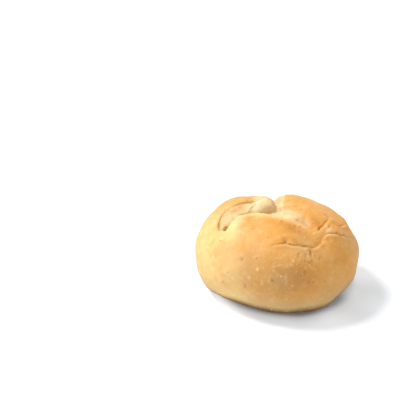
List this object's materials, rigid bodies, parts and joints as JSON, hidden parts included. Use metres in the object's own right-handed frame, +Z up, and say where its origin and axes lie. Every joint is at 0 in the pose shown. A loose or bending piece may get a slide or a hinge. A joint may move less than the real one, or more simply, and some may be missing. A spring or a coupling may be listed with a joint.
{
  "type": "white bread roll",
  "caption": "Round, slightly oval white bread roll with a golden crust, torn open along the top round a fold of pale dough.",
  "frame": {"origin": "middle of the bounding box, at the level of the flat base that the roll stands on", "axes": "+X along the roll's longer side, to the right as seen from the side with the smooth front lobe; +Y away from that side; +Z up"},
  "size_m": [0.0906, 0.078, 0.0508],
  "materials": {
    "crust": "matte"
  },
  "bodies": {
    "root": {"roll": "crust"}
  },
  "joints": []
}
